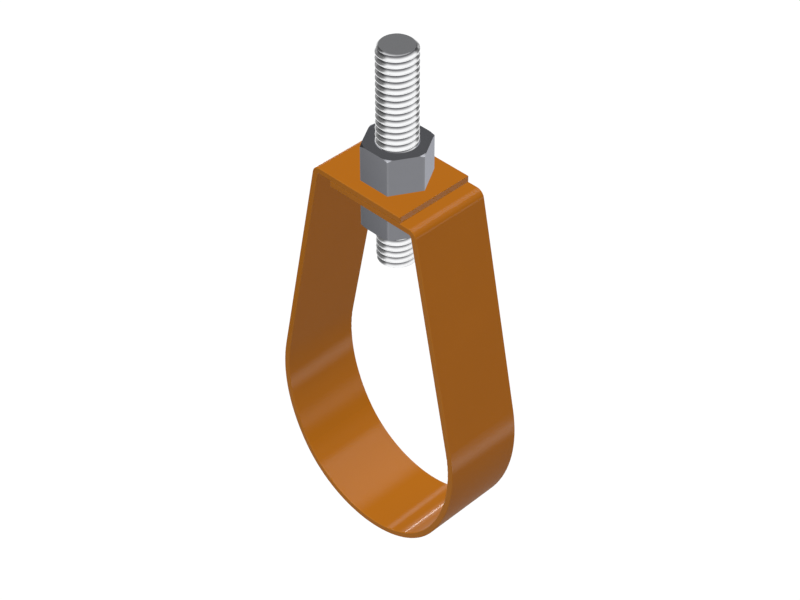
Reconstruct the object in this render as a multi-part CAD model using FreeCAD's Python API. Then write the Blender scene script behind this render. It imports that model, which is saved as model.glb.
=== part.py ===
"""Adjustable band hanger: one folded strip that carries a pipe, hung from a threaded rod by two nuts.

Millimetres. The origin is the centre of the pipe, on the rod's axis.
+Z runs up the rod, +Y runs along the pipe and +X runs across it, towards the leg with the lower flap.
"""
import FreeCAD, Part
import math
import os

# Strip
PIPE_DIAMETER = 48.26
STRIP_THICKNESS = 1.5
STRIP_WIDTH = 21.0
STRIP_EDGE_ROUND = 0.2
SEAT_HALF_ANGLE = 56.0
SIDE_INNER_RADIUS = 37.4
LEG_LEAN = 11.5
BEND_INNER_RADIUS = 0.7
FLAP_TOP_HEIGHT = 73.6
UPPER_FLAP_REACH = 11.2
LOWER_FLAP_REACH = 10.1
FLAP_GAP = 0.1

# Threaded rod, at the outside diameter of its thread
ROD_DIAMETER = 9.525
ROD_BELOW_LOWER_NUT = 10.7
ROD_ABOVE_UPPER_NUT = 24.0
ROD_END_CHAMFER = 0.8
ROD_HOLE_CLEARANCE = 0.8

# Hexagon nuts
NUT_ACROSS_FLATS = 14.2875
NUT_HEIGHT = 9.13
NUT_CORNER_CUT = 0.6
NUT_CORNER_SLOPE = 30.0
NUT_COUNTERSINK = 0.3
NUT_RUNNING_CLEARANCE = 0.05
HEXAGON_SIDES = 6

# Sizes that follow from the ones above
SEAT_OUTER_RADIUS = PIPE_DIAMETER / 2 + STRIP_THICKNESS
SIDE_OUTER_RADIUS = SIDE_INNER_RADIUS + STRIP_THICKNESS
BEND_OUTER_RADIUS = BEND_INNER_RADIUS + STRIP_THICKNESS
LOWER_FLAP_TOP = FLAP_TOP_HEIGHT - STRIP_THICKNESS - FLAP_GAP
LOWER_FLAP_FOOT = LOWER_FLAP_TOP - STRIP_THICKNESS

ORIGIN = FreeCAD.Vector(0, 0, 0)
ACROSS = FreeCAD.Vector(1, 0, 0)
ALONG = FreeCAD.Vector(0, 1, 0)
UP = FreeCAD.Vector(0, 0, 1)
SAME_PLACE = 1e-6


def in_front_view(distance, heading):
    """A step in the XZ plane, at a heading in degrees from +X towards +Z."""
    turn = math.radians(heading)
    return FreeCAD.Vector(distance * math.cos(turn), 0, distance * math.sin(turn))


def in_top_view(distance, heading):
    """A step in the XY plane, at a heading in degrees from +X towards +Y."""
    turn = math.radians(heading)
    return FreeCAD.Vector(distance * math.cos(turn), distance * math.sin(turn), 0)


def leg_to_corner(height):
    """A leg's outer line from the side arc up to a height: its length, and its distance from the axis there."""
    split = math.radians(SEAT_HALF_ANGLE)
    lean = math.radians(LEG_LEAN)
    offset = SIDE_OUTER_RADIUS - SEAT_OUTER_RADIUS
    foot_x = SIDE_OUTER_RADIUS * math.cos(lean) - offset * math.sin(split)
    foot_z = SIDE_OUTER_RADIUS * math.sin(lean) + offset * math.cos(split)
    length = (height - foot_z) / math.cos(lean)
    return length, foot_x - length * math.sin(lean)


def strip_path():
    """The strip's outer face from the upper flap's end round to the lower flap's end.

    Each step is ("line", length) or ("arc", outer radius, angle turned to the left).
    """
    bend_turn = 90 - LEG_LEAN
    side_turn = 90 + LEG_LEAN - SEAT_HALF_ANGLE
    bend_run = BEND_OUTER_RADIUS * math.tan(math.radians(bend_turn) / 2)
    left_leg, left_corner = leg_to_corner(FLAP_TOP_HEIGHT)
    right_leg, right_corner = leg_to_corner(LOWER_FLAP_TOP)
    return [
        ("line", UPPER_FLAP_REACH + left_corner - bend_run),
        ("arc", BEND_OUTER_RADIUS, bend_turn),
        ("line", left_leg - bend_run),
        ("arc", SIDE_OUTER_RADIUS, side_turn),
        ("arc", SEAT_OUTER_RADIUS, 2 * SEAT_HALF_ANGLE),
        ("arc", SIDE_OUTER_RADIUS, side_turn),
        ("line", right_leg - bend_run),
        ("arc", BEND_OUTER_RADIUS, bend_turn),
        ("line", right_corner - bend_run + LOWER_FLAP_REACH),
    ]


def path_edges(steps, inset):
    """Edges of the path moved to its left by inset. The path starts at the upper flap's end and heads for -X."""
    heading = 180.0
    place = FreeCAD.Vector(UPPER_FLAP_REACH, -STRIP_WIDTH / 2, FLAP_TOP_HEIGHT)
    edges = []
    for kind, size, *turn in steps:
        start = place + in_front_view(inset, heading + 90)
        if kind == "line":
            place = place + in_front_view(size, heading)
            finish = place + in_front_view(inset, heading + 90)
            edges.append(Part.LineSegment(start, finish).toShape())
        else:
            centre = place + in_front_view(size, heading + 90)
            middle = centre + in_front_view(size - inset, heading - 90 + turn[0] / 2)
            heading += turn[0]
            place = centre + in_front_view(size, heading - 90)
            finish = place + in_front_view(inset, heading + 90)
            edges.append(Part.Arc(start, middle, finish).toShape())
    return edges


def make_band():
    """The folded strip, with its long edges rounded and one rod hole through both flaps."""
    outer = path_edges(strip_path(), 0)
    inner = path_edges(strip_path(), STRIP_THICKNESS)
    upper_end = Part.LineSegment(outer[0].Vertexes[0].Point, inner[0].Vertexes[0].Point).toShape()
    lower_end = Part.LineSegment(outer[-1].Vertexes[-1].Point, inner[-1].Vertexes[-1].Point).toShape()
    outline = Part.Wire([*outer, lower_end, *reversed(inner), upper_end])
    strip = Part.Face(outline).extrude(ALONG * STRIP_WIDTH)
    rims = [edge for edge in strip.Edges
            if abs(abs(edge.BoundBox.Center.y) - STRIP_WIDTH / 2) < SAME_PLACE]
    strip = strip.makeFillet(STRIP_EDGE_ROUND, rims)
    hole_radius = ROD_DIAMETER / 2 + ROD_HOLE_CLEARANCE
    hole = Part.makeCylinder(hole_radius, FLAP_TOP_HEIGHT - LOWER_FLAP_FOOT, UP * LOWER_FLAP_FOOT, UP)
    return strip.cut(hole)


def make_nut():
    """A hexagon nut standing at z = 0 on its bearing face, with its corners cut at the top and one pair on X."""
    corner_radius = NUT_ACROSS_FLATS / 2 / math.cos(math.pi / HEXAGON_SIDES)
    corners = [in_top_view(corner_radius, 360 / HEXAGON_SIDES * side) for side in range(HEXAGON_SIDES)]
    prism = Part.Face(Part.makePolygon([*corners, corners[0]])).extrude(UP * NUT_HEIGHT)
    face_radius = corner_radius - NUT_CORNER_CUT
    foot_radius = face_radius + NUT_HEIGHT / math.tan(math.radians(NUT_CORNER_SLOPE))
    hexagon = prism.common(Part.makeCone(foot_radius, face_radius, NUT_HEIGHT))
    bore_radius = ROD_DIAMETER / 2 + NUT_RUNNING_CLEARANCE
    mouth_radius = bore_radius + NUT_COUNTERSINK
    bore = Part.makeCylinder(bore_radius, NUT_HEIGHT)
    near_mouth = Part.makeCone(mouth_radius, bore_radius, NUT_COUNTERSINK)
    far_foot = UP * (NUT_HEIGHT - NUT_COUNTERSINK)
    far_mouth = Part.makeCone(bore_radius, mouth_radius, NUT_COUNTERSINK, far_foot, UP)
    return hexagon.cut([bore, near_mouth, far_mouth])


def make_upper_nut():
    """The nut that stands on the upper flap, its cut corners up."""
    nut = make_nut()
    nut.translate(UP * FLAP_TOP_HEIGHT)
    return nut


def make_lower_nut():
    """The nut that bears on the lower flap from below, its cut corners down."""
    nut = make_nut()
    nut.rotate(ORIGIN, ACROSS, 180)
    nut.translate(UP * LOWER_FLAP_FOOT)
    return nut


def make_rod():
    """The length of rod that shows, with both ends chamfered."""
    foot = LOWER_FLAP_FOOT - NUT_HEIGHT - ROD_BELOW_LOWER_NUT
    head = FLAP_TOP_HEIGHT + NUT_HEIGHT + ROD_ABOVE_UPPER_NUT
    rod = Part.makeCylinder(ROD_DIAMETER / 2, head - foot, UP * foot, UP)
    rims = [edge for edge in rod.Edges if isinstance(edge.Curve, Part.Circle)]
    return rod.makeChamfer(ROD_END_CHAMFER, rims)


def main():
    """Writes one STEP file for each piece."""
    os.makedirs("parts", exist_ok=True)
    pieces = {
        "band": make_band(),
        "upper_nut": make_upper_nut(),
        "lower_nut": make_lower_nut(),
        "threaded_rod": make_rod(),
    }
    for name, shape in pieces.items():
        shape.exportStep(f"parts/{name}.step")
        box = shape.optimalBoundingBox(False, False)
        print(f"{name}: solids {len(shape.Solids)}, valid {shape.isValid()}, volume {shape.Volume:.1f}, "
              f"size {box.XLength:.2f} x {box.YLength:.2f} x {box.ZLength:.2f}, "
              f"z {box.ZMin:.2f} to {box.ZMax:.2f}")


main()
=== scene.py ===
"""Looks of the adjustable band hanger: a coated strip, two steel nuts and a threaded rod.

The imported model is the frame. Lengths are in metres and heights run up the rod from the pipe's centre.
"""
import logging
import math
from dataclasses import dataclass
from enum import Enum
from typing import Any, Union

import bpy
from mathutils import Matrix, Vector


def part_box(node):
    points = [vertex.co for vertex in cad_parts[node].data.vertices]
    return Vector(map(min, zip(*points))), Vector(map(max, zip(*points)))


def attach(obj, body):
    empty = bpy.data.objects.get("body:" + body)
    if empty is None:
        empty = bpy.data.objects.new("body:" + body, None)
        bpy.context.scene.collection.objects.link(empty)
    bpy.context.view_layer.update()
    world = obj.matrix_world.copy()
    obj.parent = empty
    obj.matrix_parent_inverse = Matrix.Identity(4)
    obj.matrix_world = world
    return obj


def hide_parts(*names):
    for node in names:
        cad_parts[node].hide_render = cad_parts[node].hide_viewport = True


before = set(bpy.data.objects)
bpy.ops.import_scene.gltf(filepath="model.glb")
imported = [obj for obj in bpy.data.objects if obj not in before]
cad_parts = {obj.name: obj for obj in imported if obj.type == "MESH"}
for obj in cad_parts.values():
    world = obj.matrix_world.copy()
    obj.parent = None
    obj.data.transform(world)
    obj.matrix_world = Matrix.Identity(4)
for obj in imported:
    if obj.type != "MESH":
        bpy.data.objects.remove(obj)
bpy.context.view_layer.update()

logging.basicConfig(level=logging.INFO, format="%(message)s")
LOG = logging.getLogger("band_hanger")

Socket = bpy.types.NodeSocket
Tree = bpy.types.NodeTree
Object = bpy.types.Object
Material = bpy.types.Material
Term = Union[float, Socket]
Colour = tuple[float, float, float, float]

WHITE: Colour = (1.0, 1.0, 1.0, 1.0)
NUTS = ("upper_nut", "lower_nut")
SQUARE = ((-1.0, -1.0), (1.0, -1.0), (1.0, 1.0), (-1.0, 1.0))
HEXAGON_SIDES = 6


class SocketKind(Enum):
    """The socket types that the node groups use."""

    NUMBER = "NodeSocketFloat"
    WHOLE = "NodeSocketInt"
    COLOUR = "NodeSocketColor"
    VECTOR = "NodeSocketVector"
    MATERIAL = "NodeSocketMaterial"
    GEOMETRY = "NodeSocketGeometry"


def numbers(*names: str) -> dict[str, SocketKind]:
    """Number sockets of those names."""
    return {name: SocketKind.NUMBER for name in names}


class TreeKind(Enum):
    """The two kinds of node tree."""

    SHADER = "ShaderNodeTree"
    GEOMETRY = "GeometryNodeTree"


class Graph:
    """A node tree with short calls that add nodes and join them."""

    def __init__(self, tree: Tree) -> None:
        """Keeps the tree to work in."""
        self.tree = tree
        self.entry: bpy.types.Node | None = None

    @classmethod
    def group(cls, name: str, kind: TreeKind, inputs: dict[str, SocketKind],
              outputs: dict[str, SocketKind]) -> "Graph":
        """Makes a node group with named sockets.

        Args:
            name: The group's name.
            kind: Shader or geometry.
            inputs: Each input's name and type.
            outputs: Each output's name and type.

        Returns:
            The graph of the new group, with its input node in place.
        """
        tree = bpy.data.node_groups.new(name, kind.value)
        for label, socket_kind in inputs.items():
            tree.interface.new_socket(name=label, in_out="INPUT", socket_type=socket_kind.value)
        for label, socket_kind in outputs.items():
            tree.interface.new_socket(name=label, in_out="OUTPUT", socket_type=socket_kind.value)
        graph = cls(tree)
        graph.entry = tree.nodes.new("NodeGroupInput")
        return graph

    def given(self, name: str) -> Socket:
        """The group input of that name."""
        return self.entry.outputs[name]

    def passed(self, *names: str) -> dict[str, Socket]:
        """The group inputs of those names, to hand on to another group."""
        return {name: self.given(name) for name in names}

    def feed(self, socket: Socket, value: Any) -> None:
        """Joins a socket to an output, or sets its value.

        Args:
            socket: The input socket.
            value: An output socket, a node for its first output, or a plain value.
        """
        if isinstance(value, bpy.types.Node):
            value = value.outputs[0]
        if isinstance(value, Socket):
            self.tree.links.new(value, socket)
        else:
            socket.default_value = value

    def node(self, kind: str, inputs: dict[Any, Any] | None = None, **settings: Any) -> bpy.types.Node:
        """Adds a node.

        Args:
            kind: The node's type name.
            inputs: What feeds its inputs, by the socket's name or place.
            **settings: Attributes of the node.

        Returns:
            The new node.
        """
        made = self.tree.nodes.new(kind)
        for name, value in settings.items():
            setattr(made, name, value)
        for key, value in (inputs or {}).items():
            self.feed(made.inputs[key], value)
        return made

    def math(self, operation: str, *terms: Term) -> Socket:
        """The result of a math node on some terms, in order."""
        return self.node("ShaderNodeMath", dict(enumerate(terms)), operation=operation).outputs[0]

    def plus(self, first: Term, second: Term) -> Socket:
        """The sum of two terms."""
        return self.math("ADD", first, second)

    def minus(self, first: Term, second: Term) -> Socket:
        """The first term less the second."""
        return self.math("SUBTRACT", first, second)

    def times(self, first: Term, second: Term) -> Socket:
        """The product of two terms."""
        return self.math("MULTIPLY", first, second)

    def to_edge(self, value: Term, width: Term) -> Socket:
        """The distance from a value to 0 or to the width, whichever is nearer."""
        return self.math("MINIMUM", value, self.minus(width, value))

    def swing(self, value: Term) -> Socket:
        """A value from 0 to 1, spread to -1 to 1."""
        return self.math("MULTIPLY_ADD", value, 2.0, -1.0)

    def ramp(self, value: Term, low: Term, high: Term, start: Term = 0.0, finish: Term = 1.0,
             smooth: bool = False) -> Socket:
        """Maps a value between two limits to another pair, held at the ends.

        Args:
            value: What is mapped.
            low: The value that gives start.
            high: The value that gives finish.
            start: The result at low.
            finish: The result at high.
            smooth: Whether the slope eases in and out.

        Returns:
            The result.
        """
        shape = "SMOOTHSTEP" if smooth else "LINEAR"
        made = self.node("ShaderNodeMapRange", {0: value, 1: low, 2: high, 3: start, 4: finish},
                         interpolation_type=shape, clamp=True)
        return made.outputs[0]

    def mix(self, share: Term, first: Any, second: Any) -> Socket:
        """The first colour, with a share of the second mixed in."""
        made = self.node("ShaderNodeMix", {0: share, 6: first, 7: second}, data_type="RGBA")
        return made.outputs[2]

    def split(self, vector: Socket) -> list[Socket]:
        """The three numbers of a vector."""
        return list(self.node("ShaderNodeSeparateXYZ", {0: vector}).outputs)

    def join(self, x: Term, y: Term, z: Term) -> Socket:
        """A vector from three numbers."""
        return self.node("ShaderNodeCombineXYZ", {0: x, 1: y, 2: z}).outputs[0]

    def use(self, group: Tree, inputs: dict[str, Any]) -> bpy.types.Node:
        """A new node that runs a group, with what feeds its inputs by name."""
        shader = self.tree.bl_idname == TreeKind.SHADER.value
        return self.node("ShaderNodeGroup" if shader else "GeometryNodeGroup", inputs, node_tree=group)

    def give(self, results: dict[str, Any]) -> Tree:
        """The finished tree of a group, once its outputs are fed by name."""
        self.node("NodeGroupOutput", results)
        return self.tree


class SurfaceEffects:
    """The shader groups that the band, the nuts and the rod share."""

    BROAD_NOISE = {"Detail": 3.0, "Roughness": 0.55}
    FINE_NOISE = {"Detail": 2.0, "Roughness": 0.5}
    BROAD_SHARE = 0.5

    def __init__(self) -> None:
        """Builds both groups once."""
        self.grain = self._grain()
        self.edge = self._edge()

    def _grain(self) -> Tree:
        """Broad mottling of a colour, fine variation of its roughness, and a fine height.

        Returns:
            The group.
        """
        graph = Graph.group(
            "Surface Grain", TreeKind.SHADER,
            {"Place": SocketKind.VECTOR, "Colour": SocketKind.COLOUR,
             **numbers("Broad Scale", "Fine Scale", "Mottling", "Roughness", "Roughness Spread")},
            {"Colour": SocketKind.COLOUR, **numbers("Roughness", "Height")})
        given = graph.given
        broad = graph.node("ShaderNodeTexNoise", {"Vector": given("Place"), "Scale": given("Broad Scale"),
                                                  **self.BROAD_NOISE}).outputs[0]
        fine = graph.node("ShaderNodeTexNoise", {"Vector": given("Place"), "Scale": given("Fine Scale"),
                                                 **self.FINE_NOISE}).outputs[0]
        swing = graph.swing(broad)
        light = graph.math("MULTIPLY_ADD", swing, given("Mottling"), 1.0)
        shade = graph.node("ShaderNodeVectorMath", {0: given("Colour"), "Scale": light},
                           operation="SCALE").outputs[0]
        both = graph.math("MULTIPLY_ADD", swing, self.BROAD_SHARE, graph.swing(fine))
        rough = graph.math("MULTIPLY_ADD", both, given("Roughness Spread"), given("Roughness"))
        return graph.give({"Colour": shade, "Roughness": rough, "Height": fine})

    def _edge(self) -> Tree:
        """A tone that fades away with the distance from an edge, broken up by a noise.

        Returns:
            The group.
        """
        graph = Graph.group(
            "Edge Tone", TreeKind.SHADER,
            {"Place": SocketKind.VECTOR, "Colour": SocketKind.COLOUR, "Edge Colour": SocketKind.COLOUR,
             **numbers("Distance", "Width", "Breakup", "Breakup Scale", "Strength")},
            {"Colour": SocketKind.COLOUR})
        given = graph.given
        noise = graph.node("ShaderNodeTexNoise", {"Vector": given("Place"), "Scale": given("Breakup Scale"),
                                                  **self.FINE_NOISE}).outputs[0]
        stretch = graph.math("MULTIPLY_ADD", graph.swing(noise), given("Breakup"), 1.0)
        reach = graph.times(given("Width"), stretch)
        fade = graph.ramp(given("Distance"), 0.0, reach, 1.0, 0.0, smooth=True)
        mask = graph.times(fade, given("Strength"))
        return graph.give({"Colour": graph.mix(mask, given("Colour"), given("Edge Colour"))})


@dataclass(frozen=True)
class Grain:
    """A finish's small unevenness: its scales, its share of the colour and the roughness, and its height."""

    broad_scale: float
    fine_scale: float
    mottling: float
    roughness: float
    bump_strength: float
    bump_depth: float
    roughness_spread: float = 0.03


@dataclass(frozen=True)
class EdgeTone:
    """A finish's second tone near an edge: its colour, how far it reaches and how uneven it is. The scene
    uses it for painted highlights and painted shade.
    """

    colour: Colour
    width: float
    breakup: float
    breakup_scale: float
    strength: float


class MaterialGraph(Graph):
    """The node tree of a new material, with the object's own coordinates at hand."""

    def __init__(self, name: str) -> None:
        """Makes the material.

        Args:
            name: The material's name.
        """
        self.material = bpy.data.materials.new(name)
        self.material.use_nodes = True
        super().__init__(self.material.node_tree)
        self.tree.nodes.clear()
        own = self.node("ShaderNodeTexCoord").outputs
        self.place = own["Object"]
        self.facing = own["Normal"]

    def from_axis(self) -> Socket:
        """The distance from the rod's axis."""
        x, y, _ = self.split(self.place)
        return self.node("ShaderNodeVectorMath", {0: self.join(x, y, 0.0)}, operation="LENGTH").outputs[1]

    def grain(self, effects: SurfaceEffects, grain: Grain, colour: Colour,
              place: Socket) -> dict[str, Socket]:
        """Gives a plain colour a finish's grain.

        Args:
            effects: The shared shader groups.
            grain: The finish's grain.
            colour: The plain colour.
            place: The coordinates that the grain follows.

        Returns:
            The grained colour, its roughness and the grain's height, by name.
        """
        made = self.use(effects.grain, {
            "Place": place, "Broad Scale": grain.broad_scale, "Fine Scale": grain.fine_scale,
            "Colour": colour, "Mottling": grain.mottling, "Roughness": grain.roughness,
            "Roughness Spread": grain.roughness_spread})
        return {socket.name: socket for socket in made.outputs}

    def edge(self, effects: SurfaceEffects, tone: EdgeTone, colour: Socket,
             distance: Socket, where: Term = 1.0) -> Socket:
        """Gives a colour a second tone near an edge.

        Args:
            effects: The shared shader groups.
            tone: The second tone.
            colour: The colour away from the edge.
            distance: The distance from the edge.
            where: One where the tone shows, and zero where it doesn't.

        Returns:
            The colour with its second tone.
        """
        made = self.use(effects.edge, {
            "Place": self.place, "Distance": distance, "Width": tone.width, "Breakup": tone.breakup,
            "Breakup Scale": tone.breakup_scale, "Colour": colour, "Edge Colour": tone.colour,
            "Strength": self.times(where, tone.strength)})
        return made.outputs["Colour"]

    def bump(self, height: Socket, grain: Grain) -> Socket:
        """The normal that a height from 0 to 1 gives, as strong and deep as a grain's."""
        return self.node("ShaderNodeBump", {"Strength": grain.bump_strength, "Distance": grain.bump_depth,
                                            "Height": height}).outputs[0]

    def finish(self, kind: str, inputs: dict[Any, Any]) -> Material:
        """The finished material, which ends in one shader node of that kind."""
        self.node("ShaderNodeOutputMaterial", {"Surface": self.node(kind, inputs)})
        return self.material


@dataclass(frozen=True)
class CopperCoat:
    """The band's smooth copper-orange coat, with a painted highlight along the strip's long edges.

    Where the two flaps meet, the rims are darkened with painted shade. That line lies seam_depth under the
    upper flap's top, and the flaps overlap from overlap_start to overlap_end across the pipe.
    """

    half_width: float
    top: float
    seam_depth: float = 0.00155
    overlap_start: float = -0.0101
    overlap_end: float = 0.0112
    colour: Colour = (0.500, 0.157, 0.0095, 1.0)
    grain: Grain = Grain(broad_scale=60.0, fine_scale=900.0, mottling=0.035, roughness=0.45,
                         bump_strength=0.06, bump_depth=0.0001)
    # Painted highlight: a lighter orange on the rims along the strip's long edges
    painted_edge_highlight: EdgeTone = EdgeTone(colour=(0.65, 0.24, 0.030, 1.0), width=0.0003, breakup=0.5,
                                   breakup_scale=180.0, strength=0.5)
    # Painted shade: a darker line on the rims where the two flaps meet
    painted_seam_shade: EdgeTone = EdgeTone(colour=(0.30, 0.102, 0.011, 1.0), width=0.0003, breakup=0.2,
                              breakup_scale=180.0, strength=1.0)
    gloss: float = 0.13
    gloss_spread: float = 0.02
    gloss_roughness: float = 0.08
    ior: float = 1.5

    def build(self, effects: SurfaceEffects) -> Material:
        """Makes the material.

        Args:
            effects: The shared shader groups.

        Returns:
            The material.
        """
        graph = MaterialGraph("copper_coat")
        grain = graph.grain(effects, self.grain, self.colour, graph.place)
        x, y, z = graph.split(graph.place)
        from_edge = graph.minus(self.half_width, graph.math("ABSOLUTE", y))
        # Paints the highlight along the long edges
        edge_lit = graph.edge(effects, self.painted_edge_highlight, grain["Colour"], from_edge)
        from_seam = graph.math("ABSOLUTE", graph.minus(z, self.top - self.seam_depth))
        overlapped = graph.times(graph.math("GREATER_THAN", x, self.overlap_start),
                                 graph.math("LESS_THAN", x, self.overlap_end))
        # Paints shade along the line where the flaps meet
        tone = graph.edge(effects, self.painted_seam_shade, edge_lit, from_seam, overlapped)
        gloss = graph.math("MULTIPLY_ADD", graph.swing(grain["Height"]), self.gloss_spread, self.gloss)
        return graph.finish("ShaderNodeBsdfPrincipled", {
            "Base Color": tone, "Roughness": grain["Roughness"], "Metallic": 0.0, "IOR": self.ior,
            "Specular IOR Level": 0.0, "Coat Weight": gloss, "Coat Roughness": self.gloss_roughness,
            "Coat IOR": self.ior, "Normal": graph.bump(grain["Height"], self.grain)})


@dataclass(frozen=True)
class NutSteel:
    """The nuts' plain mid-grey steel, with turned marks and a painted highlight along the corners.

    The three numbers of marks crowd or stretch the grain outwards, across and upwards.
    """

    corner_radius: float
    colour: Colour = (0.205, 0.208, 0.225, 1.0)
    edge_tint: Colour = (0.78, 0.79, 0.84, 1.0)
    grain: Grain = Grain(broad_scale=140.0, fine_scale=700.0, mottling=0.04, roughness=0.20,
                         bump_strength=0.04, bump_depth=0.00003)
    # Painted highlight: a lighter grey along the nut's upright corners
    painted_corner_highlight: EdgeTone = EdgeTone(colour=(0.30, 0.305, 0.32, 1.0), width=0.00045, breakup=0.4,
                                breakup_scale=400.0, strength=0.3)
    marks: tuple[float, float, float] = (9.0, 0.15, 2.0)

    def build(self, effects: SurfaceEffects) -> Material:
        """Makes the material.

        Args:
            effects: The shared shader groups.

        Returns:
            The material.
        """
        graph = MaterialGraph("nut_steel")
        x, y, z = graph.split(graph.place)
        away = graph.from_axis()
        turned = graph.join(*(graph.times(term, scale) for term, scale in zip((away, x, z), self.marks)))
        grain = graph.grain(effects, self.grain, self.colour, turned)
        turn = graph.math("ARCTAN2", y, x)
        sixth = graph.math("FRACT", graph.times(turn, HEXAGON_SIDES / math.tau))
        sideways = graph.times(graph.to_edge(sixth, 1.0), self.corner_radius * math.tau / HEXAGON_SIDES)
        inward = graph.minus(self.corner_radius, away)
        # Paints the highlight along the corners
        tone = graph.edge(effects, self.painted_corner_highlight, grain["Colour"], graph.math("MAXIMUM", sideways, inward))
        return graph.finish("ShaderNodeBsdfPrincipled", {
            "Base Color": tone, "Roughness": grain["Roughness"], "Metallic": 1.0,
            "Specular Tint": self.edge_tint, "Normal": graph.bump(grain["Height"], self.grain)})


@dataclass(frozen=True)
class BrightPlate:
    """The rod's bright plating, with painted shade down in the thread's root, and plain sawn ends.

    A face counts as a sawn end as the upright part of its normal goes from the first to the second number of
    end_facing.
    """

    root_radius: float
    colour: Colour = (0.955, 0.96, 0.97, 1.0)
    end_colour: Colour = (0.42, 0.425, 0.44, 1.0)
    grain: Grain = Grain(broad_scale=220.0, fine_scale=1500.0, mottling=0.03, roughness=0.20,
                         bump_strength=0.05, bump_depth=0.00003)
    # Painted shade: near black down in the thread's root, where the groove lies in shade
    root: EdgeTone = EdgeTone(colour=(0.06, 0.06, 0.07, 1.0), width=0.000644, breakup=0.15,
                              breakup_scale=500.0, strength=0.9)
    end_facing: tuple[float, float] = (0.93, 0.98)

    def build(self, effects: SurfaceEffects) -> Material:
        """Makes the material.

        Args:
            effects: The shared shader groups.

        Returns:
            The material.
        """
        graph = MaterialGraph("bright_plate")
        grain = graph.grain(effects, self.grain, self.colour, graph.place)
        end = graph.ramp(graph.math("ABSOLUTE", graph.split(graph.facing)[2]), *self.end_facing)
        from_root = graph.minus(graph.from_axis(), self.root_radius)
        # Paints shade in the thread's root, except on the sawn ends
        tone = graph.edge(effects, self.root, grain["Colour"], from_root, graph.minus(1.0, end))
        return graph.finish("ShaderNodeBsdfPrincipled", {
            "Base Color": graph.mix(end, tone, self.end_colour), "Roughness": grain["Roughness"],
            "Metallic": 1.0, "Normal": graph.bump(grain["Height"], self.grain)})


@dataclass(frozen=True)
class Thread:
    """A coarse right-hand thread, as rolled: three eighths of an inch, sixteen turns to the inch.

    On +X, one of its crests is at the height crest_height.
    """

    crest_radius: float
    pitch: float = 0.0015875
    depth: float = 0.00092
    crest_height: float = 0.08175
    rounding: float = 0.3
    sides: int = 96
    rows_per_turn: int = 20

    @property
    def root_radius(self) -> float:
        """The radius at the bottom of the groove."""
        return self.crest_radius - self.depth

    def values(self) -> dict[str, float]:
        """The thread's own inputs of every tree that has it, by name."""
        return {"Pitch": self.pitch, "Crest Height": self.crest_height, "Crest Radius": self.crest_radius,
                "Root Radius": self.root_radius, "Rounding": self.rounding, "Sides": self.sides,
                "Rows per Turn": self.rows_per_turn}


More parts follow.
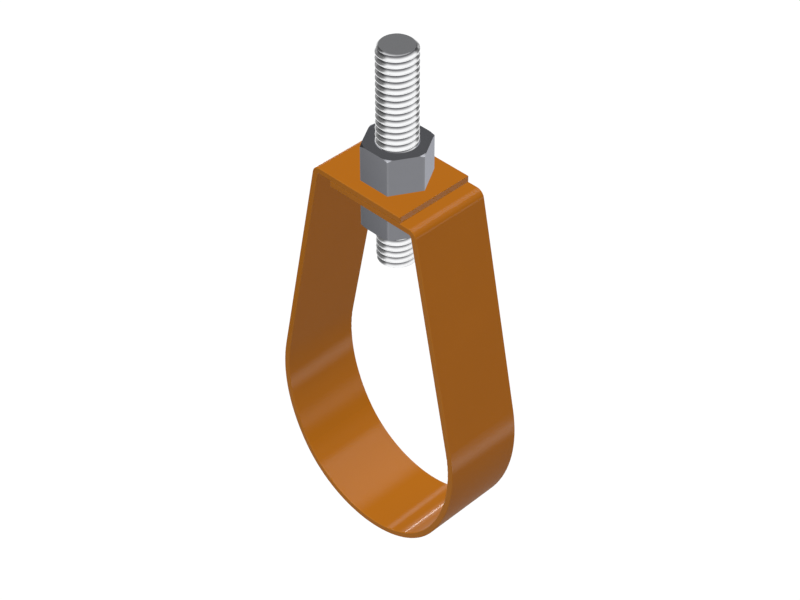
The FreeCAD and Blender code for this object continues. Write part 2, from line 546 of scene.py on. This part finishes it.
class ThreadTrees:
    """The geometry groups that the rod and the nuts share.

    FLAT_SHARE is the share of the pitch that the flat at the crest takes, and the one at the root.
    SPARE_TURNS are wound past the ends of a sheet and pressed flat on them.
    """

    SIZES = numbers("Pitch", "Crest Height", "Crest Radius", "Root Radius", "Rounding")
    DETAIL = {name: SocketKind.WHOLE for name in ("Sides", "Rows per Turn")}
    FLAT_SHARE = 1.0 / 6.0
    SPARE_TURNS = 3.0
    END_MARGIN = 1e-5
    MERGE_DISTANCE = 2e-6
    LEVEL_FACING = 0.985
    GENTLE_ANGLE = math.radians(45.0)

    def __init__(self) -> None:
        """Builds the groups once."""
        self.form = self._form()
        self.sheet = self._sheet()
        self.close = self._close()

    def _form(self) -> Tree:
        """The thread's radius at a height and a turn round the axis.

        Returns:
            The group.
        """
        graph = Graph.group("Thread Form", TreeKind.GEOMETRY, {**numbers("Turn", "Height"), **self.SIZES},
                            numbers("Radius"))
        rise = graph.minus(graph.given("Height"), graph.given("Crest Height"))
        along = graph.minus(graph.math("DIVIDE", rise, graph.given("Pitch")), graph.given("Turn"))
        middle = graph.math("ABSOLUTE", graph.minus(graph.math("FRACT", along), 0.5))
        # Carried on to the middle of each flat, a flank passes its own ends by this share of its depth
        past = self.FLAT_SHARE / (1.0 - 2.0 * self.FLAT_SHARE)
        flank = graph.ramp(middle, 0.0, 0.5, -past, 1.0 + past)
        crest = graph.math("SMOOTH_MIN", flank, 1.0, graph.given("Rounding"))
        share = graph.math("SMOOTH_MAX", crest, 0.0, graph.given("Rounding"))
        depth = graph.minus(graph.given("Crest Radius"), graph.given("Root Radius"))
        return graph.give({"Radius": graph.math("MULTIPLY_ADD", share, depth, graph.given("Root Radius"))})

    def _sheet(self) -> Tree:
        """A flat grid, with the turn and height that wind its rows along the thread between two planes.

        Side is 1 to wind upwards from the base and -1 to wind downwards from it.

        Returns:
            The group.
        """
        graph = Graph.group(
            "Thread Sheet", TreeKind.GEOMETRY,
            {**numbers("Base", "Length", "Side", "Pitch", "Crest Height"), **self.DETAIL},
            {"Geometry": SocketKind.GEOMETRY, **numbers("Turn", "Height", "Rise", "Between Ends")})
        given = graph.given
        turns = graph.math("CEIL", graph.plus(graph.math("DIVIDE", given("Length"), given("Pitch")),
                                              self.SPARE_TURNS))
        rows = graph.times(turns, given("Rows per Turn"))
        grid = graph.node("GeometryNodeMeshGrid", {
            "Size X": 1.0, "Size Y": 1.0, "Vertices X": graph.plus(given("Sides"), 1.0),
            "Vertices Y": graph.plus(rows, 1.0)})
        x, y, _ = graph.split(graph.node("GeometryNodeInputPosition").outputs[0])
        turn = graph.plus(x, 0.5)
        along = graph.plus(y, 0.5)
        offset = graph.math("DIVIDE", graph.minus(given("Base"), given("Crest Height")), given("Pitch"))
        skipped = graph.math("FRACT", graph.times(offset, given("Side")))
        start = graph.minus(-1.0, skipped)
        wound = graph.plus(graph.math("MULTIPLY_ADD", along, turns, start), turn)
        free = graph.times(wound, given("Pitch"))
        rise = graph.math("MINIMUM", graph.math("MAXIMUM", free, 0.0), given("Length"))
        height = graph.math("MULTIPLY_ADD", rise, given("Side"), given("Base"))
        inside = graph.math("GREATER_THAN", graph.to_edge(along, 1.0), self.END_MARGIN)
        return graph.give({"Geometry": grid.outputs[0], "Turn": graph.times(turn, given("Side")),
                           "Height": height, "Rise": rise, "Between Ends": inside})

    def _close(self) -> Tree:
        """Merges the seams, shades the gentle edges smooth and the end faces flat, and gives the material.

        Returns:
            The group.
        """
        graph = Graph.group(
            "Close and Finish", TreeKind.GEOMETRY,
            {"Geometry": SocketKind.GEOMETRY, "Material": SocketKind.MATERIAL},
            {"Geometry": SocketKind.GEOMETRY})
        merged = graph.node("GeometryNodeMergeByDistance", {"Geometry": graph.given("Geometry"),
                                                            "Distance": self.MERGE_DISTANCE})
        upright = graph.split(graph.node("GeometryNodeInputNormal").outputs[0])[2]
        curved = graph.math("LESS_THAN", graph.math("ABSOLUTE", upright), self.LEVEL_FACING)
        faces = graph.node("GeometryNodeSetShadeSmooth", {"Geometry": merged, "Shade Smooth": curved},
                           domain="FACE")
        angle = graph.node("GeometryNodeInputMeshEdgeAngle").outputs[0]
        gentle = graph.math("LESS_THAN", angle, self.GENTLE_ANGLE)
        smooth = graph.node("GeometryNodeSetShadeSmooth", {"Geometry": faces, "Shade Smooth": gentle},
                            domain="EDGE")
        real = graph.node("GeometryNodeRealizeInstances", {"Geometry": smooth})
        return graph.give({"Geometry": graph.node("GeometryNodeSetMaterial", {
            "Geometry": real, "Material": graph.given("Material")})})

    @staticmethod
    def wrap(graph: Graph, sheet: Socket, turn: Term, radius: Term, height: Term) -> Socket:
        """Wraps a grid round the axis.

        Args:
            graph: The tree to work in.
            sheet: The grid.
            turn: Each point's turn round the axis.
            radius: Each point's distance from the axis.
            height: Each point's height.

        Returns:
            The wrapped grid.
        """
        angle = graph.times(turn, math.tau)
        place = graph.join(graph.times(radius, graph.math("COSINE", angle)),
                           graph.times(radius, graph.math("SINE", angle)), height)
        return graph.node("GeometryNodeSetPosition", {"Geometry": sheet, "Position": place}).outputs[0]


def pick(graph: Graph, row: Socket, choices: list[Term]) -> Socket:
    """Chooses one value for each row of a grid.

    Args:
        graph: The tree to work in.
        row: The row's number.
        choices: The value of each row, in order.

    Returns:
        The chosen value.
    """
    switch = graph.node("GeometryNodeIndexSwitch", data_type="FLOAT")
    while len(switch.index_switch_items) < len(choices):
        switch.index_switch_items.new()
    graph.feed(switch.inputs["Index"], graph.math("ROUND", row))
    for place, choice in enumerate(choices):
        graph.feed(switch.inputs[place + 1], choice)
    return switch.outputs[0]


def add_object(name: str, data: bpy.types.ID) -> Object:
    """A new object in the scene, at the origin."""
    made = bpy.data.objects.new(name, data)
    bpy.context.scene.collection.objects.link(made)
    return made


def one_face(name: str, corners: list[Vector]) -> bpy.types.Mesh:
    """A flat mesh of one four-sided face."""
    mesh = bpy.data.meshes.new(name)
    mesh.from_pydata([tuple(painted_corner_highlight) for painted_corner_highlight in corners], [], [(0, 1, 2, 3)])
    return mesh


def collect(name: str, members: list[Object]) -> bpy.types.Collection:
    """A collection of objects for a light's or a card's linking."""
    made = bpy.data.collections.new(name)
    for member in members:
        made.objects.link(member)
    return made


def bake_tree(name: str, tree: Tree, values: dict[str, Any]) -> Object:
    """Runs a geometry tree once and keeps its result as a plain mesh object.

    Args:
        name: The piece's name.
        tree: The geometry tree.
        values: Its inputs, by name.

    Returns:
        The new object, at the origin.
    """
    carrier = add_object(f"{name}_carrier", bpy.data.meshes.new(f"{name}_carrier"))
    modifier = carrier.modifiers.new("build", "NODES")
    modifier.node_group = tree
    identifiers = {item.name: item.identifier for item in tree.interface.items_tree
                   if item.in_out == "INPUT"}
    for label, value in values.items():
        modifier[identifiers[label]] = value
    evaluated = carrier.evaluated_get(bpy.context.evaluated_depsgraph_get())
    mesh = bpy.data.meshes.new_from_object(evaluated)
    carrier.modifiers.remove(modifier)
    bpy.data.objects.remove(carrier)
    mesh.name = name
    return add_object(name, mesh)


@dataclass
class RodPiece:
    """The threaded rod with its real helical thread and chamfered ends."""

    foot: float
    head: float
    thread: Thread
    end_chamfer: float = 0.0008
    node: str = "threaded_rod"
    body: str = "rod"

    @staticmethod
    def tree(trees: ThreadTrees) -> Tree:
        """Builds the tree that winds a sheet round the axis along the thread.

        Args:
            trees: The shared thread groups.

        Returns:
            The tree.
        """
        graph = Graph.group(
            "Threaded Rod", TreeKind.GEOMETRY,
            {**numbers("Foot", "Head", "End Chamfer"), **trees.SIZES, **trees.DETAIL,
             "Material": SocketKind.MATERIAL},
            {"Geometry": SocketKind.GEOMETRY})
        given = graph.given
        length = graph.minus(given("Head"), given("Foot"))
        sheet = graph.use(trees.sheet, {"Base": given("Foot"), "Length": length, "Side": 1.0,
                                        **graph.passed("Pitch", "Crest Height", *trees.DETAIL)}).outputs
        radius = graph.use(trees.form, {"Turn": sheet["Turn"], "Height": sheet["Height"],
                                        **graph.passed(*trees.SIZES)}).outputs[0]
        to_end = graph.to_edge(sheet["Rise"], length)
        cone = graph.plus(graph.minus(given("Crest Radius"), given("End Chamfer")), to_end)
        cut = graph.times(graph.math("MINIMUM", radius, cone), sheet["Between Ends"])
        wrapped = trees.wrap(graph, sheet["Geometry"], sheet["Turn"], cut, sheet["Height"])
        return graph.give({"Geometry": graph.use(trees.close, {
            "Geometry": wrapped, "Material": given("Material")})})

    def build(self, trees: ThreadTrees, finish: Material) -> Object:
        """Makes the rod's piece and puts it in the CAD rod's place.

        Args:
            trees: The shared thread groups.
            finish: The rod's material.

        Returns:
            The piece.
        """
        piece = bake_tree("threaded_rod_thread", self.tree(trees), {
            "Foot": self.foot, "Head": self.head, "End Chamfer": self.end_chamfer, **self.thread.values(),
            "Material": finish})
        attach(piece, self.body)
        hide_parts(self.node)
        return piece


class NutSide(Enum):
    """Which way a nut's cut corners face."""

    UP = 1.0
    DOWN = -1.0


@dataclass
class NutPiece:
    """A hexagon nut with cut corners on its outer face and a thread that fits the rod's."""

    node: str
    side: NutSide
    thread: Thread
    corner_cut: float = 0.0006
    corner_slope: float = 30.0
    bore_radius: float = 0.00402
    clearance: float = 0.00004
    mouth_cut: float = 0.0001

    @staticmethod
    def tree(trees: ThreadTrees) -> Tree:
        """Builds the tree of a nut that stands on its bearing face and rises towards its side.

        Args:
            trees: The shared thread groups.

        Returns:
            The tree.
        """
        graph = Graph.group(
            "Hexagon Nut", TreeKind.GEOMETRY,
            {**numbers("Base", "Length", "Side", "Corner Radius", "Face Radius", "Corner Slope",
                       "Bore Radius", "Clearance", "Mouth Cut"),
             **trees.SIZES, **trees.DETAIL, "Material": SocketKind.MATERIAL},
            {"Geometry": SocketKind.GEOMETRY})
        given = graph.given
        length, side = given("Length"), given("Side")

        def bore(turn: Term, height: Term, rise: Term) -> Socket:
            """The threaded hole's radius, opened at both mouths.

            Args:
                turn: The turn round the axis.
                height: The height up the rod.
                rise: The distance from the bearing face.

            Returns:
                The radius.
            """
            form = graph.use(trees.form, {"Turn": turn, "Height": height,
                                          **graph.passed(*trees.SIZES)}).outputs[0]
            thread = graph.math("MAXIMUM", graph.plus(form, given("Clearance")), given("Bore Radius"))
            to_end = graph.to_edge(rise, length)
            wide = graph.plus(graph.plus(given("Crest Radius"), given("Mouth Cut")), given("Clearance"))
            return graph.math("MAXIMUM", thread, graph.minus(wide, to_end))

        sheet = graph.use(trees.sheet, {**graph.passed("Base", "Length", "Side", "Pitch", "Crest Height"),
                                        **graph.passed(*trees.DETAIL)}).outputs
        hole = trees.wrap(graph, sheet["Geometry"], sheet["Turn"],
                          bore(sheet["Turn"], sheet["Height"], sheet["Rise"]), sheet["Height"])
        inward = graph.node("GeometryNodeFlipFaces", {"Mesh": hole}).outputs[0]

        x, y, _ = graph.split(graph.node("GeometryNodeInputPosition").outputs[0])
        turn = graph.plus(x, 0.5)
        # The hexagon's radius at an angle, with its corners at whole sixths of a turn
        sixth = graph.minus(graph.math("FRACT", graph.times(turn, HEXAGON_SIDES)), 0.5)
        spread = graph.math("COSINE", graph.times(sixth, math.tau / HEXAGON_SIDES))
        flats = graph.times(given("Corner Radius"), math.cos(math.pi / HEXAGON_SIDES))
        hexagon = graph.math("DIVIDE", flats, spread)
        over = graph.math("MAXIMUM", graph.minus(hexagon, given("Face Radius")), 0.0)
        shoulder = graph.minus(length, graph.times(over, given("Corner Slope")))
        own_turn = graph.times(turn, side)
        top = graph.math("MULTIPLY_ADD", length, side, given("Base"))
        # The skin's rows, from the hole in the bearing face round the flats to the hole in the outer face
        radii = [bore(own_turn, given("Base"), 0.0), hexagon, hexagon,
                 graph.math("MINIMUM", hexagon, given("Face Radius")), bore(own_turn, top, length)]
        rises = [0.0, 0.0, shoulder, length, length]
        last_row = len(radii) - 1
        skin = graph.node("GeometryNodeMeshGrid", {
            "Size X": 1.0, "Size Y": last_row, "Vertices X": graph.plus(given("Sides"), 1.0),
            "Vertices Y": last_row + 1})
        row = graph.plus(y, last_row / 2)
        height = graph.math("MULTIPLY_ADD", pick(graph, row, rises), side, given("Base"))
        outside = trees.wrap(graph, skin.outputs[0], own_turn, pick(graph, row, radii), height)
        joined = graph.node("GeometryNodeJoinGeometry")
        for part in (inward, outside):
            graph.tree.links.new(part, joined.inputs[0])
        return graph.give({"Geometry": graph.use(trees.close, {
            "Geometry": joined, "Material": given("Material")})})

    def build(self, trees: ThreadTrees, tree: Tree, finish: Material) -> Object:
        """Makes the nut's piece and puts it in the CAD nut's place.

        Args:
            trees: The shared thread groups; not used.
            tree: The nut's tree.
            finish: The nut's material.

        Returns:
            The piece.
        """
        low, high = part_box(self.node)
        base = low.z if self.side is NutSide.UP else high.z
        piece = bake_tree(f"{self.node}_thread", tree, {
            "Base": base, "Length": high.z - low.z, "Side": self.side.value, "Corner Radius": high.x,
            "Face Radius": high.x - self.corner_cut,
            "Corner Slope": math.tan(math.radians(self.corner_slope)), "Bore Radius": self.bore_radius,
            "Clearance": self.clearance, "Mouth Cut": self.mouth_cut, **self.thread.values(),
            "Material": finish})
        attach(piece, self.node)
        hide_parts(self.node)
        return piece


@dataclass
class BandPiece:
    """The folded strip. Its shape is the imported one, and this gives it its finish."""

    node: str = "band"

    def dress(self, finish: Material) -> Object:
        """Puts the coat on the strip.

        Args:
            finish: The band's material.

        Returns:
            The node's object.
        """
        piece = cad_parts[self.node]
        piece.data.materials.clear()
        piece.data.materials.append(finish)
        return piece


def heading(azimuth: float, elevation: float) -> Vector:
    """The unit vector of a direction: degrees from +X towards +Y, and degrees above the horizon."""
    turn, lift = math.radians(azimuth), math.radians(elevation)
    return Vector((math.cos(lift) * math.cos(turn), math.cos(lift) * math.sin(turn), math.sin(lift)))


@dataclass(frozen=True)
class PhotoCamera:
    """The camera at the photograph's viewing angle."""

    place: tuple[float, float, float] = (0.24879, -0.24800, 0.33311)
    azimuth: float = -45.0
    elevation: float = 40.007
    lens: float = 91.154
    sensor: float = 36.0
    clip_start: float = 0.01
    clip_end: float = 20.0

    def build(self) -> Object:
        """Makes the camera and gives it to the scene.

        Returns:
            The camera.
        """
        data = bpy.data.cameras.new("photo_camera")
        data.lens = self.lens
        data.sensor_width = self.sensor
        data.clip_start = self.clip_start
        data.clip_end = self.clip_end
        camera = add_object("photo_camera", data)
        camera.rotation_mode = "QUATERNION"
        camera.rotation_quaternion = (-heading(self.azimuth, self.elevation)).to_track_quat("-Z", "Y")
        camera.location = self.place
        bpy.context.scene.camera = camera
        return camera


@dataclass(frozen=True)
class FarLight:
    """A soft light from far off that falls on some of the scene only. Its spread is in degrees."""

    name: str
    azimuth: float
    elevation: float
    strength: float
    spread: float
    casts_shadow: bool

    def build(self, lit: list[Object]) -> Object:
        """Makes the light.

        Args:
            lit: What the light falls on.

        Returns:
            The light's object.
        """
        data = bpy.data.lights.new(self.name, "SUN")
        data.energy = self.strength
        data.angle = math.radians(self.spread)
        data.use_shadow = self.casts_shadow
        light = add_object(self.name, data)
        light.rotation_mode = "QUATERNION"
        light.rotation_quaternion = heading(self.azimuth, self.elevation).to_track_quat("Z", "Y")
        light.visible_glossy = False
        light.light_linking.receiver_collection = collect(f"{self.name}_lights", lit)
        return light


@dataclass(frozen=True)
class Card:
    """A studio card that shows only as a gloss, in a given direction from a point of the object.

    It faces that point, or lies level, and fades at its edges over a share of its width and height. A
    glowing card adds to what is behind it and shows in its own pieces. A covering card, grey or white, hides
    what is behind it and shows in every piece.
    """

    name: str
    azimuth: float
    elevation: float
    distance: float
    width: float
    height: float
    glow: float
    fade: tuple[float, float] = (0.3, 0.3)
    seen_from: tuple[float, float, float] = (0.0, 0.0, 0.04)
    level: bool = False
    covers: bool = False
    shows_in: tuple[str, ...] = ("band",)

    def _corners(self) -> list[Vector]:
        """Works out where the card stands.

        Returns:
            Its corners, in order round it.
        """
        away = heading(self.azimuth, self.elevation)
        across = Vector((1.0, 0.0, 0.0)) if self.level else Vector((-away.y, away.x, 0.0)).normalized()
        rise = Vector((0.0, 1.0, 0.0)) if self.level else away.cross(across)
        across, rise = across * (self.width / 2), rise * (self.height / 2)
        middle = Vector(self.seen_from) + away * self.distance
        return [middle + across * x + rise * y for x, y in SQUARE]

    def _finish(self) -> Material:
        """Makes the card's material.

        Returns:
            The material.
        """
        graph = MaterialGraph(self.name)
        u, v, _ = graph.split(graph.node("ShaderNodeUVMap", uv_map="card").outputs[0])
        mask: Term = 1.0
        for along, share in ((u, self.fade[0]), (v, self.fade[1])):
            inward = graph.to_edge(along, 1.0)
            mask = graph.times(mask, graph.ramp(inward, 0.0, share, smooth=True))
        clear = graph.node("ShaderNodeBsdfTransparent")
        glow = self.glow if self.covers else graph.times(mask, self.glow)
        light = graph.node("ShaderNodeEmission", {"Color": WHITE, "Strength": glow})
        if self.covers:
            return graph.finish("ShaderNodeMixShader", {0: mask, 1: clear, 2: light})
        return graph.finish("ShaderNodeAddShader", {0: light, 1: clear})

    def build(self, pieces: dict[str, Object]) -> Object:
        """Makes the card.

        Args:
            pieces: The object's pieces by name, of which a glowing card shows in its own.

        Returns:
            The card's object.
        """
        mesh = one_face(self.name, self._corners())
        layer = mesh.uv_layers.new(name="card")
        for place, (x, y) in zip(layer.data, SQUARE):
            place.uv = ((x + 1.0) / 2.0, (y + 1.0) / 2.0)
        mesh.materials.append(self._finish())
        card = add_object(self.name, mesh)
        card.visible_camera = False
        card.visible_diffuse = False
        card.visible_transmission = False
        card.visible_shadow = False
        if not self.covers:
            card.light_linking.receiver_collection = collect(
                f"{self.name}_shows", [pieces[name] for name in self.shows_in])
        return card


@dataclass(frozen=True)
class Flag:
    """A round dark flag in the mirrored world. Its reach and its full core are in degrees."""

    azimuth: float
    elevation: float
    reach: float
    core: float
    depth: float

    def share(self, graph: Graph, way: Socket) -> Socket:
        """The flag's share of darkness in a direction.

        Args:
            graph: The tree to work in.
            way: The direction.

        Returns:
            The share, from zero past its reach to its depth in its core.
        """
        middle = tuple(heading(self.azimuth, self.elevation))
        near = graph.node("ShaderNodeVectorMath", {0: way, 1: middle}, operation="DOT_PRODUCT").outputs[1]
        reach, core = (math.cos(math.radians(angle)) for angle in (self.reach, self.core))
        return graph.ramp(near, reach, core, 0.0, self.depth, smooth=True)


@dataclass(frozen=True)
class DarkRing:
    """A dark ring round the mirrored world, just over the horizon, with a lighter gap on one side.

    It starts and ends over two ranges of the upward part of a direction.
    """

    start: tuple[float, float] = (0.02, 0.08)
    end: tuple[float, float] = (0.27, 0.42)
    depth: float = 0.72
    gap: Flag = Flag(-45.0, 12.0, 32.0, 12.0, 0.75)

    def share(self, graph: Graph, way: Socket) -> Socket:
        """The ring's share of darkness in a direction.

        Args:
            graph: The tree to work in.
            way: The direction.

        Returns:
            The share, from zero outside the ring to its depth.
        """
        upward = graph.split(way)[2]
        above = graph.ramp(upward, *self.start, smooth=True)
        below = graph.ramp(upward, *self.end, self.depth, 0.0, smooth=True)
        closed = graph.minus(1.0, self.gap.share(graph, way))
        return graph.times(graph.times(above, below), closed)


@dataclass(frozen=True)
class Studio:
    """A plain pale floor, well below the hanging object, with soft light round it."""

    floor_height: float = -0.30
    floor_half: float = 8.0
    floor_tone: float = 0.20
    shown_floor_tone: float = 0.30
    shown_floor_glow: float = 0.70
    sky: float = 0.725
    floor_light: FarLight = FarLight("floor_light", 65.0, 72.0, 1.3, 12.0, True)
    top_light: FarLight = FarLight("top_light", 0.0, 89.0, 0.65, 20.0, False)
    ring: DarkRing = DarkRing()
    flags: tuple[Flag, ...] = (
        Flag(143.0, 30.0, 40.0, 20.0, 0.62), Flag(87.0, 31.0, 15.0, 8.0, 0.92),
        Flag(192.0, 32.0, 31.0, 18.0, 0.85))
    cards: tuple[Card, ...] = (
        Card("overhead_card", 50.0, 59.0, 0.58, 1.04, 1.12, 6.2, (0.24, 0.22), level=True),
        Card("low_right_card", 38.0, -33.0, 0.45, 0.375, 0.125, 4.5, (0.3, 0.5), (0.0, 0.0, 0.007)),
        Card("right_level_card", 29.0, -1.0, 0.50, 0.40, 0.18, 3.0, (0.3, 0.5), (-0.023, 0.0, -0.009)),
        Card("left_strip_card", 149.0, 17.5, 0.50, 0.30, 0.100, 6.2, (0.3, 0.5), (0.0075, 0.0, -0.023)),
        Card("left_level_card", 150.0, -7.0, 0.50, 0.40, 0.17, 1.9, (0.3, 0.3), (0.0128, 0.0, -0.0205)),
        Card("left_glint_card", 150.0, -6.8, 0.49, 0.30, 0.030, 27.0, (0.3, 0.4), (0.0128, 0.0, -0.0205)),
        Card("nut_card_front", 253.0, 74.0, 0.50, 0.16, 0.16, 2.9, (0.4, 0.4), (0.0041, -0.0071, 0.082),
             shows_in=NUTS),
        Card("nut_card_right", 62.0, 52.0, 0.50, 0.16, 0.16, 2.9, (0.4, 0.4), (0.0080, 0.0, 0.082),
             shows_in=NUTS),
        Card("grey_card", 190.0, -28.0, 0.1325, 0.195, 0.105, 0.17, (0.19, 0.20), covers=True),
        Card("bend_card", 40.5, 38.6, 0.0529, 0.050, 0.050, 1.0, (0.20, 0.12), (0.0185, 0.0035, 0.073),
             level=True, covers=True))

    def build(self, pieces: dict[str, Object]) -> None:
        """Makes the floor with its light, the world, the light from above and the cards.

        Args:
            pieces: The object's pieces, by name.
        """
        self.floor_light.build([self._floor()])
        self.top_light.build(list(pieces.values()))
        self._world()
        for card in self.cards:
            card.build(pieces)

    @staticmethod
    def _seen(graph: Graph) -> Socket:
        """One for the rays that show the background, and zero for the rays that only light things.

        Args:
            graph: The tree to work in.

        Returns:
            The mask.
        """
        ray = graph.node("ShaderNodeLightPath").outputs
        some = graph.math("MAXIMUM", ray["Is Camera Ray"], ray["Is Glossy Ray"])
        return graph.math("MAXIMUM", some, ray["Is Transmission Ray"])

    def _floor(self) -> Object:
        """Makes the floor. It shows only from above, so that the object can be seen from below.

        Returns:
            The floor.
        """
        half, height = self.floor_half, self.floor_height
        mesh = one_face("floor", [Vector((x * half, y * half, height)) for x, y in SQUARE])
        floor = add_object("floor", mesh)
        graph = MaterialGraph("pale_floor")
        tone, shown_tone = self.floor_tone, self.shown_floor_tone
        plain = graph.node("ShaderNodeBsdfDiffuse", {"Color": (tone, tone, tone, 1.0)})
        shadowed = graph.node("ShaderNodeBsdfDiffuse", {"Color": (shown_tone, shown_tone, shown_tone, 1.0)})
        glow = graph.node("ShaderNodeEmission", {"Color": WHITE, "Strength": self.shown_floor_glow})
        shown = graph.node("ShaderNodeAddShader", {0: shadowed, 1: glow})
        front = graph.node("ShaderNodeMixShader", {0: self._seen(graph), 1: plain, 2: shown})
        clear = graph.node("ShaderNodeBsdfTransparent")
        behind = graph.node("ShaderNodeNewGeometry").outputs["Backfacing"]
        finish = graph.finish("ShaderNodeMixShader", {0: behind, 1: front, 2: clear})
        finish.cycles.emission_sampling = "NONE"
        mesh.materials.append(finish)
        return floor

    def _world(self) -> None:
        """Makes the world: an even soft light, and white where it is seen, with dark flags in the gloss."""
        world = bpy.data.worlds.new("studio")
        world.use_nodes = True
        bpy.context.scene.world = world
        graph = Graph(world.node_tree)
        graph.tree.nodes.clear()
        way = graph.node("ShaderNodeTexCoord").outputs["Generated"]
        dark = self.ring.share(graph, way)
        for flag in self.flags:
            dark = graph.math("MAXIMUM", dark, flag.share(graph, way))
        shown = graph.minus(1.0, dark)
        ray = graph.node("ShaderNodeLightPath").outputs
        mirrored = graph.ramp(ray["Is Glossy Ray"], 0.0, 1.0, 1.0, shown)
        shade = graph.ramp(self._seen(graph), 0.0, 1.0, self.sky, mirrored)
        light = graph.node("ShaderNodeBackground", {"Color": graph.join(shade, shade, shade)})
        graph.node("ShaderNodeOutputWorld", {"Surface": light})
        world.cycles.sampling_method = "NONE"


def main() -> None:
    """Builds the looks in order and reports each piece."""
    bpy.context.scene.view_settings.view_transform = "Standard"
    effects = SurfaceEffects()

    _, band_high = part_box("band")
    band = BandPiece().dress(CopperCoat(half_width=band_high.y, top=band_high.z).build(effects))

    rod_low, rod_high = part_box("threaded_rod")
    thread = Thread(crest_radius=rod_high.x)
    trees = ThreadTrees()
    plate = BrightPlate(root_radius=thread.root_radius).build(effects)
    rod = RodPiece(foot=rod_low.z, head=rod_high.z, thread=thread).build(trees, plate)

    _, nut_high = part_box("upper_nut")
    steel = NutSteel(corner_radius=nut_high.x).build(effects)
    nut_tree = NutPiece.tree(trees)
    nuts = {node: NutPiece(node=node, side=side, thread=thread).build(trees, nut_tree, steel)
            for node, side in zip(NUTS, (NutSide.UP, NutSide.DOWN))}

    pieces = {"band": band, "rod": rod, **nuts}
    for piece in pieces.values():
        LOG.info("%s: %d faces", piece.name, len(piece.data.polygons))
        piece.visible_glossy = False
        piece.visible_diffuse = False
    Studio().build(pieces)
    PhotoCamera().build()


if __name__ == "__main__":
    main()
